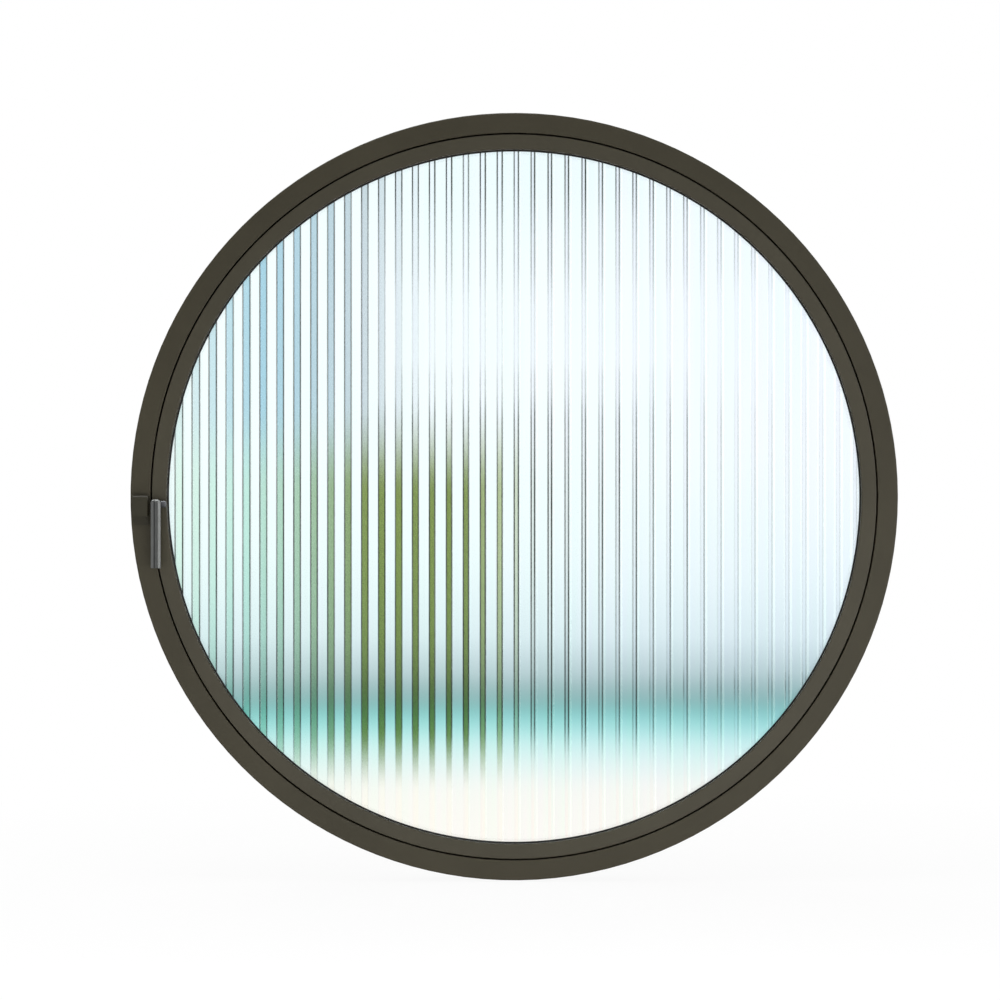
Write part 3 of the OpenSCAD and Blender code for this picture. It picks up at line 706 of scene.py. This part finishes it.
# What shows through the glass: colours from below to above, and tints from left to right
SKY = [(0.0, (0.98, 0.93, 0.89)), (0.13, (0.97, 0.92, 0.86)), (0.175, (0.95, 0.92, 0.86)),
       (0.2, (0.86, 0.9, 0.87)), (0.235, (0.58, 0.86, 0.84)), (0.262, (0.27, 0.66, 0.64)),
       (0.285, (0.21, 0.4, 0.39)), (0.315, (0.46, 0.58, 0.6)), (0.36, (0.73, 0.85, 0.88)),
       (0.45, (0.86, 0.95, 0.95)), (0.57, (0.93, 0.975, 0.985)), (0.71, (0.94, 0.98, 1.0)),
       (0.82, (0.92, 0.97, 0.99)), (1.0, (0.84, 0.93, 0.95))]
SIDE_TINTS = [(0.3, (0.99, 1.0, 0.99)), (0.5, (1.0, 1.0, 1.0)), (0.7, (0.97, 0.945, 1.0))]
SKY_STRENGTH = 1.1
# Slopes of the view at which those start and end, and the least depth that a slope is divided by
UP_SLOPES, SIDE_SLOPES = (-0.155, 0.145), (-0.317, 0.333)
LEAST_AHEAD = 0.2
# Ambient light on the room side and behind the window, and the depth directions between which it changes
ROOM_LIGHT, BACK_LIGHT = 0.5, 0.2
ROOM_END, BACK_START = -0.2, 0.5


def surroundings():
    """White to the camera, the sky's colours through the glass, and soft ambient light on the object."""
    world = bpy.data.worlds.new("studio")
    bpy.context.scene.world = world
    world.use_nodes = True
    tree = world.node_tree
    tree.nodes.clear()
    out = node(tree, "ShaderNodeOutputWorld")
    path = node(tree, "ShaderNodeLightPath")
    direction = axes(tree, "Generated")
    either = node(tree, "ShaderNodeMath", operation="ABSOLUTE")
    tree.links.new(direction["Y"], either.inputs[0])
    ahead = calc(tree, "MAXIMUM", either.outputs["Value"], LEAST_AHEAD)
    up = spread(tree, calc(tree, "DIVIDE", direction["Z"], ahead), 0.0, 1.0, *UP_SLOPES)
    side = spread(tree, calc(tree, "DIVIDE", direction["X"], ahead), 0.0, 1.0, *SIDE_SLOPES)
    tinted = node(tree, "ShaderNodeMix", data_type="RGBA", blend_type="MULTIPLY")
    tinted.inputs["Factor"].default_value = 1.0
    tree.links.new(ramp(tree, up, SKY, "B_SPLINE"), tinted.inputs["A"])
    tree.links.new(ramp(tree, side, SIDE_TINTS, "B_SPLINE"), tinted.inputs["B"])

    ambient = node(tree, "ShaderNodeBackground")
    ambient.inputs["Color"].default_value = (*WHITE, 1)
    light = spread(tree, direction["Y"], ROOM_LIGHT, BACK_LIGHT, ROOM_END, BACK_START)
    tree.links.new(light, ambient.inputs["Strength"])
    white = node(tree, "ShaderNodeBackground")
    white.inputs["Color"].default_value = (*WHITE, 1)
    through = node(tree, "ShaderNodeBackground")
    through.inputs["Strength"].default_value = SKY_STRENGTH
    tree.links.new(tinted.outputs["Result"], through.inputs["Color"])
    seen = node(tree, "ShaderNodeMixShader")
    tree.links.new(path.outputs["Is Camera Ray"], seen.inputs["Fac"])
    tree.links.new(ambient.outputs["Background"], seen.inputs[1])
    tree.links.new(white.outputs["Background"], seen.inputs[2])
    last = node(tree, "ShaderNodeMixShader")
    tree.links.new(path.outputs["Is Transmission Ray"], last.inputs["Fac"])
    tree.links.new(seen.outputs["Shader"], last.inputs[1])
    tree.links.new(through.outputs["Background"], last.inputs[2])
    tree.links.new(last.outputs["Shader"], out.inputs["Surface"])


# The ring's radius in a picture of this width, and the picture's middle as seen from the ring's centre
PICTURE_PIXELS = 1000.0
RING_PIXELS = 383.96
MIDDLE_RIGHT, MIDDLE_UP = -14.2, -3.4
CAMERA_DISTANCE = 4.5
SENSOR_WIDE = 36.0


def camera():
    """Looks square on at the room side, with the ring where it is in the photo."""
    data = bpy.data.cameras.new("camera")
    obj = bpy.data.objects.new("camera", data)
    bpy.context.scene.collection.objects.link(obj)
    pixel = FRAME_R * MM / RING_PIXELS
    back = Vector((0, -1, 0))
    aim = Vector((MIDDLE_RIGHT * pixel, ROOM_Y * MM, MIDDLE_UP * pixel))
    obj.location = aim + back * CAMERA_DISTANCE
    obj.rotation_euler = (-back).to_track_quat("-Z", "Y").to_euler()
    data.sensor_width = SENSOR_WIDE
    data.lens = SENSOR_WIDE * CAMERA_DISTANCE / (PICTURE_PIXELS * pixel)
    data.clip_start, data.clip_end = 0.05, 100.0
    bpy.context.scene.camera = obj


floor()
area("key", place=(2.0, -3.7, -0.1), target=(0, 0, 0), wide=1.6, tall=3.6, power=36.0)
area("right", place=(3.2, -1.3, 0.0), target=(0, 0, 0), wide=0.6, tall=3.0, power=60.0, diffuse=False)
area("top", place=(-0.5, -0.35, 2.6), target=(-0.5, 0, 0), wide=1.4, tall=1.0, power=28.0)
area("fill", place=(-2.4, -4.3, 0.0), target=(0, 0, 0), wide=0.6, tall=3.6, power=13.0)
area("low", place=(0.1, -1.15, -0.45), target=(0, 0, -0.55), wide=2.4, tall=0.3, power=10.0, glossy=False)
area("back", place=(-1.0, 3.0, 2.6), target=(0, 0, 0), wide=2.5, tall=2.5, power=60.0)
surroundings()
camera()
bpy.context.scene.view_settings.view_transform = "Standard"
